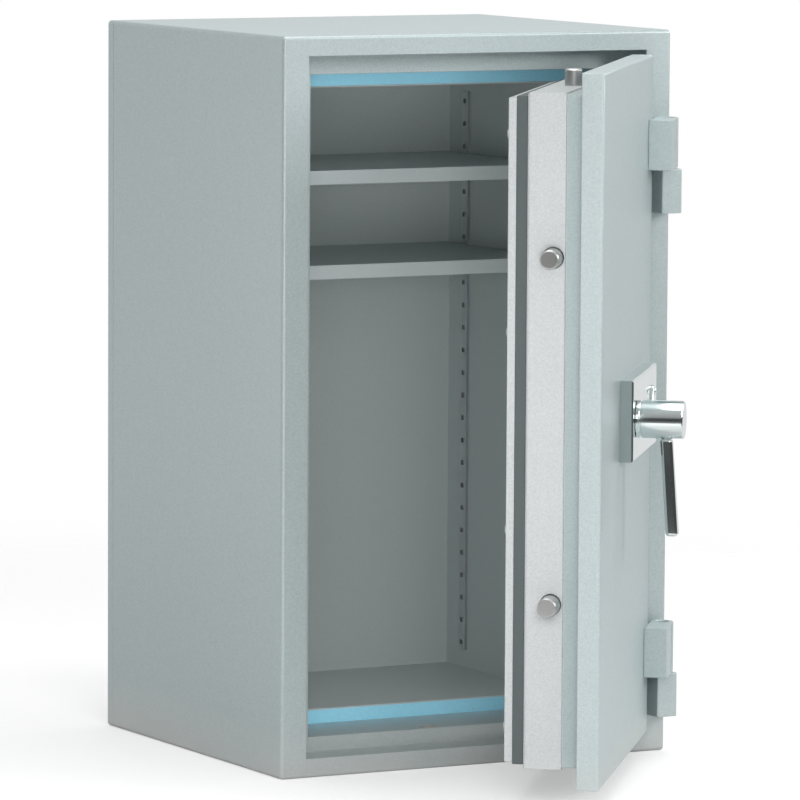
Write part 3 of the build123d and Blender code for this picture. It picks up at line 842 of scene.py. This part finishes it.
@dataclass
class DoorLeaf:
    """The leaf with its bolt casing, seal and inner cover."""

    bench: Bench
    leaf_edge: float = 0.8 * MM
    casing_edge: float = 0.9 * MM
    cover_edge: float = 0.4 * MM
    neck_start: float = 23.0 * MM
    neck_end: float = 41.0 * MM
    foot_reach: float = 0.1 * MM
    gap_width: float = 1.6 * MM
    gap_depth: float = 2.0 * MM
    # The neck's darker coat is painted shade, for the shadow that the leaf's overhang casts on
    # the casing.
    painted_neck_shade: PaintFinish = PaintFinish("neck_painted_shade_coat", (0.34, 0.415, 0.42), spread=0.13)

    def build(self) -> None:
        """Make the door's sheets and dress what lies inside them."""
        bench = self.bench
        bench.softened(("door_leaf",), "painted_leaf", Fold(self.leaf_edge), Slot.SILVER,
                       Body.DOOR)
        casing = bench.softened(("door_casing",), "bolt_casing", Fold(self.casing_edge),
                                Slot.PALE, Body.DOOR, shape=self.open_gap)
        # Painted shade: the neck next to the leaf gets a darker coat for the leaf's overhang
        # shadow.
        self.paint_neck_shade(casing.data)
        bench.softened(("door_seal",), "seal_band", Fold(self.casing_edge), Slot.SEAL,
                       Body.DOOR)
        bench.softened(("inner_cover",), "cover_pan", Fold(self.cover_edge), Slot.PALE,
                       Body.DOOR)
        bench.dress(("leaf_back_sheet", "lock_case"), Slot.ZINC)
        bench.dress(("leaf_board", "rear_board"), Slot.FILLING)
        bench.dress(("drill_plate", "key_tube", "side_guide_upper", "side_guide_lower",
                     "end_guide_upper", "end_guide_lower"), Slot.MACHINED)
        bench.dress(("spindle_bush",), Slot.BRASS)

    def open_gap(self, work: bmesh.types.BMesh) -> None:
        """Set the foot of the neck inwards, so that a dark gap shows next to the leaf.

        Args:
            work: The casing before its edges are rounded.
        """
        door = self.bench.door.matrix()
        closed = door.inverted()
        cut_across(work, door @ Vector((0.0, FRONT_Y + self.neck_start + self.gap_width, 0.0)),
                   door.to_3x3() @ Vector((0.0, 1.0, 0.0)))
        for vertex in work.verts:
            place = closed @ vertex.co
            if place.y - FRONT_Y < self.neck_start + self.foot_reach:
                place.x -= self.gap_depth * (1 if place.x > 0 else -1)
                place.z -= self.gap_depth * (1 if place.z > DOOR_MIDDLE_Z else -1)
                vertex.co = door @ place

    def paint_neck_shade(self, mesh: bpy.types.Mesh) -> None:
        """Paint the casing's neck, next to the leaf, darker: painted shade of the leaf's
        overhang.

        Args:
            mesh: The casing's mesh.
        """
        mesh.materials.append(self.painted_neck_shade.material())
        closed = self.bench.door.matrix().inverted()
        for polygon in mesh.polygons:
            if (closed @ polygon.center).y - FRONT_Y < self.neck_end:
                polygon.material_index = 1


@dataclass
class Boltwork:
    """The round bolts with their bars, rods and cam disc."""

    bench: Bench
    edge: Fold = Fold(0.35 * MM, least_angle=30.0)

    def build(self) -> None:
        """Make the round bolts and dress the pieces that move them."""
        for node, body in (("side_bolt_upper", Body.SIDE_BOLTS),
                           ("side_bolt_lower", Body.SIDE_BOLTS),
                           ("top_bolt", Body.TOP_BOLT), ("bottom_bolt", Body.BOTTOM_BOLT)):
            self.bench.softened((node,), "turned_" + node, self.edge, Slot.BOLT, body)
        self.bench.dress(("side_bar", "side_arm", "top_rod", "bottom_rod", "cam_disc",
                          "spindle", "spindle_clip"), Slot.MACHINED)


@dataclass
class LockFurniture:
    """The polished plate, the handle and the keyhole cover."""

    bench: Bench
    handle_x: float = -26.0 * MM
    handle_z: float = 383.0 * MM
    plate_rise: float = 14.0 * MM
    plate_fold: Fold = Fold(0.3 * MM, segments=2, least_angle=35.0)
    small_fold: Fold = Fold(0.2 * MM, segments=2, least_angle=35.0)
    barrel_radius: float = 19.5 * MM
    barrel_gap: float = 0.3 * MM
    barrel_length: float = 48.5 * MM
    barrel_rim: float = 0.6 * MM
    rim_share: float = 0.3
    barrel_chamfer: float = 1.4 * MM
    chamfer_share: float = 0.4
    groove_start: float = 4.0 * MM
    groove_width: float = 1.5 * MM
    groove_depth: float = 1.2 * MM
    groove_edge: float = 0.3 * MM
    lever_root: float = 30.5 * MM
    lever_length: float = 100.0 * MM
    lever_splay: float = 7.0 * MM
    lever_root_width: float = 14.0 * MM
    lever_end_width: float = 20.0 * MM
    lever_thickness: float = 12.5 * MM
    lever_fold: Fold = Fold(3.4 * MM, segments=6, least_angle=40.0)
    lever_steps: int = 10
    stem_radius: float = 5.0 * MM
    stem_length: float = 12.0 * MM
    stem_sunk: float = 2.0 * MM
    stem_segments: int = 48

    def build(self) -> None:
        """Make the plate, the keyhole cover on its rivet, the barrel and the lever."""
        for node, name, fold, body in (
                ("lock_plate", "polished_plate", self.plate_fold, Body.DOOR),
                ("cover_rivet", "domed_rivet", self.small_fold, Body.DOOR),
                ("keyhole_cover", "swinging_cover", self.small_fold, Body.KEY_COVER)):
            self.bench.softened((node,), name, fold, Slot.CHROME, body)
        self.barrel()
        self.lever()

    def barrel(self) -> None:
        """Turn the barrel with its groove and rounded rims."""
        radius, rim, chamfer = self.barrel_radius, self.barrel_rim, self.barrel_chamfer
        step, corner = self.rim_share * rim, self.chamfer_share * chamfer
        edge = self.groove_edge
        start = self.groove_start
        end = start + self.groove_width
        inner = radius - self.groove_depth
        tip = self.barrel_length
        profile = [
            (0.0, 0.0), (radius - rim, 0.0), (radius - step, step), (radius, rim),
            (radius, start - edge), (radius - edge, start), (inner, start), (inner, end),
            (radius - edge, end), (radius, end + edge), (radius, tip - chamfer),
            (radius - corner, tip - corner), (radius - chamfer, tip), (0.0, tip)]
        foot = (self.handle_x, FRONT_Y - self.plate_rise - self.barrel_gap, self.handle_z)
        mesh = turned_mesh("turned_barrel", profile, foot)
        mesh.transform(self.bench.door.matrix())
        self.bench.place("turned_barrel", mesh, Slot.CHROME, Body.HANDLE, ("handle_barrel",))

    def lever(self) -> None:
        """Loft the flat lever, which widens and leans outwards, with its round stem."""
        work = bmesh.new()
        top = self.handle_z - self.barrel_radius
        root_y = FRONT_Y - self.plate_rise - self.lever_root
        deep = self.lever_thickness / 2
        loops = []
        for step in range(self.lever_steps + 1):
            share = step / self.lever_steps
            ease = 0.5 - 0.5 * cos(pi * share)
            half = (self.lever_root_width
                    + ease * (self.lever_end_width - self.lever_root_width)) / 2
            y = root_y - share * self.lever_splay
            z = top - share * self.lever_length
            loops.append([work.verts.new((self.handle_x + x, y + d, z)) for x, d in (
                (-half, -deep), (half, -deep), (half, deep), (-half, deep))])
        for high, low in zip(loops, loops[1:]):
            bridge(work, low, high)
        work.faces.new(loops[0])
        work.faces.new(list(reversed(loops[-1])))
        bmesh.ops.recalc_face_normals(work, faces=work.faces)
        bar = self.bench.rounded(finished_mesh("lever_bar", work), self.lever_fold)
        profile = [(0.0, 0.0), (self.stem_radius, 0.0), (self.stem_radius, self.stem_length),
                   (0.0, self.stem_length)]
        stem = turned_mesh("lever_stem", profile, (0.0, 0.0, 0.0), self.stem_segments)
        stem.transform(Matrix.Translation(
            (self.handle_x, root_y, top - self.stem_sunk)) @ UP_TO_BACK)
        work = bmesh.new()
        work.from_mesh(bar)
        work.from_mesh(stem)
        bmesh.ops.recalc_face_normals(work, faces=work.faces)
        mesh = finished_mesh("polished_lever", work)
        mesh.transform(self.bench.door.matrix())
        self.bench.place("polished_lever", mesh, Slot.CHROME, Body.HANDLE, ("handle_lever",))


@dataclass
class CoverScrews:
    """The screws of the inner cover, laid out by Geometry Nodes.

    The crown is a list of shares of the head's radius and rise, from the foot up. The
    other shares are those of the cross recess, of the radius or of the rise.
    """

    bench: Bench
    columns: int = 2
    rows: int = 4
    width: float = 313.0 * MM
    height: float = 598.5 * MM
    cover_depth: float = 101.5 * MM
    head_radius: float = 4.6 * MM
    head_rise: float = 1.9 * MM
    head_steps: int = 48
    crown: tuple[Pair, ...] = (
        (1.0, 0.0), (1.0, 0.25), (0.93, 0.62), (0.78, 0.86), (0.62, 0.97))
    arm_share: float = 0.13
    reach_share: float = 0.52
    corner_share: float = 1.42
    floor_share: float = 0.7
    floor_rise: float = 0.25
    least_sine: float = 1e-4
    crease: float = 35.0
    most_turn: float = 90.0
    seed: int = 7

    def head(self) -> bpy.types.Mesh:
        """Model one domed screw head with a cross recess, rising along +Z.

        Returns:
            The head's mesh.
        """
        radius, rise = self.head_radius, self.head_rise
        angles = [2 * pi * step / self.head_steps for step in range(self.head_steps)]
        arm = self.arm_share * radius
        cross = []
        for angle in angles:
            turn = (angle + pi / 4) % (pi / 2) - pi / 4
            edge = min(self.reach_share * radius / cos(turn),
                       arm / max(abs(sin(turn)), self.least_sine))
            cross.append(max(edge, arm * self.corner_share))
        outlines = [([radius * share] * len(angles), rise * lift) for share, lift in self.crown]
        outlines.append((cross, rise))
        outlines.append(([length * self.floor_share for length in cross],
                         self.floor_rise * rise))
        work = bmesh.new()
        rings = [[work.verts.new((length * cos(angle), length * sin(angle), lift))
                  for length, angle in zip(lengths, angles)] for lengths, lift in outlines]
        for low, high in zip(rings, rings[1:]):
            bridge(work, high, low)
        work.faces.new(rings[-1])
        work.faces.new(list(reversed(rings[0])))
        bmesh.ops.recalc_face_normals(work, faces=work.faces)
        return finished_mesh("screw_head", work, self.crease)

    def tree(self) -> bpy.types.NodeTree:
        """Build the tree that repeats a head over a grid.

        Returns:
            The Geometry Nodes tree.
        """
        tree = bpy.data.node_groups.new("screw_grid", "GeometryNodeTree")
        for name, kind in (("Geometry", "Geometry"), ("Width", "Float"), ("Height", "Float"),
                           ("Columns", "Int"), ("Rows", "Int"), ("Finish", "Material"),
                           ("Turn", "Float")):
            tree.interface.new_socket(name=name, in_out="INPUT",
                                      socket_type="NodeSocket" + kind)
        tree.interface.new_socket(name="Geometry", in_out="OUTPUT",
                                  socket_type="NodeSocketGeometry")
        graph = Graph(tree)
        start = graph.add("NodeGroupInput")
        grid = graph.add("GeometryNodeMeshGrid", {
            "Size X": start.outputs["Width"], "Size Y": start.outputs["Height"],
            "Vertices X": start.outputs["Columns"], "Vertices Y": start.outputs["Rows"]})
        angle = graph.add("FunctionNodeRandomValue",
                          {"Seed": self.seed, 3: start.outputs["Turn"]}, data_type="FLOAT")
        turn = graph.add("ShaderNodeCombineXYZ", {2: angle.outputs[1]})
        spots = graph.add("GeometryNodeInstanceOnPoints", {
            "Points": grid.outputs[0], "Instance": start.outputs["Geometry"],
            "Rotation": turn.outputs[0]})
        real = graph.add("GeometryNodeRealizeInstances", {0: spots.outputs[0]})
        finish = graph.add("GeometryNodeSetMaterial", {
            "Geometry": real.outputs[0], "Material": start.outputs["Finish"]})
        graph.add("NodeGroupOutput", {0: finish.outputs[0]})
        return tree

    def build(self) -> None:
        """Lay out the screws and set them on the cover."""
        tree = self.tree()
        values = {"Width": self.width, "Height": self.height, "Columns": self.columns,
                  "Rows": self.rows, "Finish": self.bench.materials[Slot.ZINC],
                  "Turn": radians(self.most_turn)}

        def repeat(piece: bpy.types.Object) -> None:
            """Add the tree and set its inputs.

            Args:
                piece: The object in work.
            """
            modifier = piece.modifiers.new("screws", "NODES")
            modifier.node_group = tree
            for item in tree.interface.items_tree:
                if item.in_out == "INPUT" and item.name in values:
                    modifier[item.identifier] = values[item.name]

        mesh = self.bench.settle(self.head(), repeat)
        place = Matrix.Translation((0.0, FRONT_Y + self.cover_depth, DOOR_MIDDLE_Z))
        mesh.transform(self.bench.door.matrix() @ place @ UP_TO_BACK)
        self.bench.place("cover_screw_heads", mesh, Slot.ZINC, Body.DOOR)


@dataclass
class Studio:
    """Pale floor, soft lights and the camera of the photograph."""

    camera_place: Point = (-3.20812, -6.06511, 1.06699)
    camera_turn: float = -28.01877
    camera_dip: float = 5.827526
    camera_roll: float = 0.322442
    lens: float = 288.496
    sensor: float = 36.0
    clip_end: float = 200.0
    floor_grey: Colour = (0.66, 0.66, 0.66)
    floor_roughness: Pair = (0.65, 0.75)
    floor_grain: float = 300.0
    floor_reach: float = 2.1
    floor_fade: float = 1.1
    floor_glow: float = 0.36
    lights_aim: Point = (0.0, 0.0, 0.4)
    softboxes: tuple[tuple[str, Point, float, float, Colour], ...] = (
        ("camera_softbox", (-0.8, -3.0, 1.2), 1.2, 15.0, (1.0, 0.98, 0.98)),
        ("left_softbox", (-2.7, -0.7, 1.9), 1.5, 3.0, WHITE),
        ("right_front_softbox", (2.2, -2.4, 1.6), 1.2, 39.0, WHITE),
        ("right_softbox", (2.8, -0.3, 1.5), 1.5, 20.0, WHITE),
        ("top_softbox", (0.0, -0.2, 2.6), 1.8, 23.0, WHITE),
        ("near_softbox", (-0.66, -1.36, 0.48), 0.5, 9.0, (1.0, 0.97, 0.97)))
    unmirrored: tuple[str, ...] = ("near_softbox",)
    backdrop_glow: float = 0.70
    backdrop_start: Pair = (0.35, 0.65)
    backdrop_height: Pair = (0.25, 0.50)
    room_levels: tuple[Pair, ...] = (
        (-1.0, 0.38), (-0.30, 0.30), (-0.10, 0.11), (0.0, 0.06), (0.14, 0.09), (0.32, 0.38),
        (1.0, 0.70))

    def floor(self) -> None:
        """Lay the floor, which fades out into the white room."""
        reach = self.floor_reach
        mesh = bpy.data.meshes.new("studio_floor")
        mesh.from_pydata([(-reach, -reach, 0.0), (reach, -reach, 0.0), (reach, reach, 0.0),
                          (-reach, reach, 0.0)], [], [(0, 1, 2, 3)])
        shader = Shader("studio_floor", Base_Color=(*self.floor_grey, 1.0),
                        Emission_Color=(*WHITE, 1.0))
        grain = shader.effect(Effects.grain(), Scale=self.floor_grain, Flake=0.0)
        shader.feed("Roughness", shader.ramp(grain.outputs["Height"], *self.floor_roughness))
        distance = shader.graph.add("ShaderNodeVectorMath", {0: shader.place},
                                    operation="LENGTH")
        shader.feed("Alpha", shader.graph.fade(distance.outputs["Value"],
                                               (reach - self.floor_fade, reach), (1.0, 0.0)))
        rays = shader.graph.add("ShaderNodeLightPath")
        shader.feed("Emission Strength", shader.graph.maths(
            "MULTIPLY", rays.outputs["Is Camera Ray"], self.floor_glow))
        mesh.materials.append(shader.material)
        linked("studio_floor", mesh)

    def light(self, name: str, place: Point, size: float, power: float,
              colour: Colour) -> None:
        """Hang a square softbox that faces the safe.

        Args:
            name: The light's name.
            place: Where it hangs.
            size: Length of its side.
            power: Its power in watts.
            colour: Its colour.
        """
        lamp = bpy.data.lights.new(name, "AREA")
        lamp.size = size
        lamp.energy = power
        lamp.color = colour
        holder = linked(name, lamp)
        holder.location = place
        aim = Vector(self.lights_aim) - Vector(place)
        holder.rotation_euler = aim.to_track_quat("-Z", "Y").to_euler()
        holder.visible_glossy = name not in self.unmirrored

    def world(self) -> None:
        """Surround the safe with a room and a white backdrop behind the safe.

        The room is dark at the horizon in front, and light above and below.
        The camera itself sees the room as plain white.
        """
        world = bpy.data.worlds.new("studio_room")
        bpy.context.scene.world = world
        world.use_nodes = True
        graph = Graph(world.node_tree)
        coordinates = graph.add("ShaderNodeTexCoord")
        parts = graph.add("ShaderNodeSeparateXYZ", {0: coordinates.outputs["Generated"]})
        depth, height = parts.outputs[1], parts.outputs[2]
        whole = graph.add("ShaderNodeMapRange", {
            "Value": height, "From Min": -1.0, "From Max": 1.0})
        levels = graph.add("ShaderNodeValToRGB", {0: whole.outputs[0]})
        stops = levels.color_ramp.elements
        for place, _ in self.room_levels[1:-1]:
            stops.new((place + 1) / 2)
        for stop, (_, grey) in zip(stops, self.room_levels):
            stop.color = (grey, grey, grey, 1.0)
        tone = graph.add("ShaderNodeSeparateColor", {0: levels.outputs[0]})
        behind = graph.fade(depth, self.backdrop_start, (0.0, self.backdrop_glow))
        low = graph.fade(graph.maths("ABSOLUTE", height), self.backdrop_height, (1.0, 0.0))
        backdrop = graph.maths("MULTIPLY", behind, low)
        room = world.node_tree.nodes["Background"]
        room.inputs["Color"].default_value = (*WHITE, 1.0)
        graph.wire(graph.maths("ADD", tone.outputs[0], backdrop), room.inputs["Strength"])
        white = graph.add("ShaderNodeBackground", {"Color": (*WHITE, 1.0)})
        rays = graph.add("ShaderNodeLightPath")
        seen = graph.add("ShaderNodeMixShader", {
            0: rays.outputs["Is Camera Ray"], 1: room.outputs[0], 2: white.outputs[0]})
        graph.wire(seen.outputs[0], world.node_tree.nodes["World Output"].inputs["Surface"])

    def camera(self) -> None:
        """Set up the camera where the photograph was taken."""
        lens = bpy.data.cameras.new("photograph")
        lens.lens = self.lens
        lens.sensor_width = self.sensor
        lens.clip_end = self.clip_end
        holder = linked("photograph", lens)
        turn = (Matrix.Rotation(radians(self.camera_turn), 4, "Z")
                @ Matrix.Rotation(radians(90.0 - self.camera_dip), 4, "X")
                @ Matrix.Rotation(radians(self.camera_roll), 4, "Z"))
        holder.matrix_world = Matrix.Translation(self.camera_place) @ turn
        bpy.context.scene.camera = holder

    def build(self) -> None:
        """Set up the whole studio."""
        bpy.context.scene.view_settings.view_transform = "Standard"
        self.floor()
        self.world()
        self.camera()
        for softbox in self.softboxes:
            self.light(*softbox)


def main() -> None:
    """Build the looks of the safe, piece by piece."""
    logging.basicConfig(level=logging.INFO, format="%(name)s: %(message)s")
    bench = Bench(finishes(), DoorPlace.from_frame(frame["joints"]))
    for section in (SafeBody(bench), HingePair(bench), DoorLeaf(bench), Boltwork(bench),
                    LockFurniture(bench), CoverScrews(bench), Studio()):
        section.build()
        log.info("finished %s", type(section).__name__)


if __name__ == "__main__":
    main()
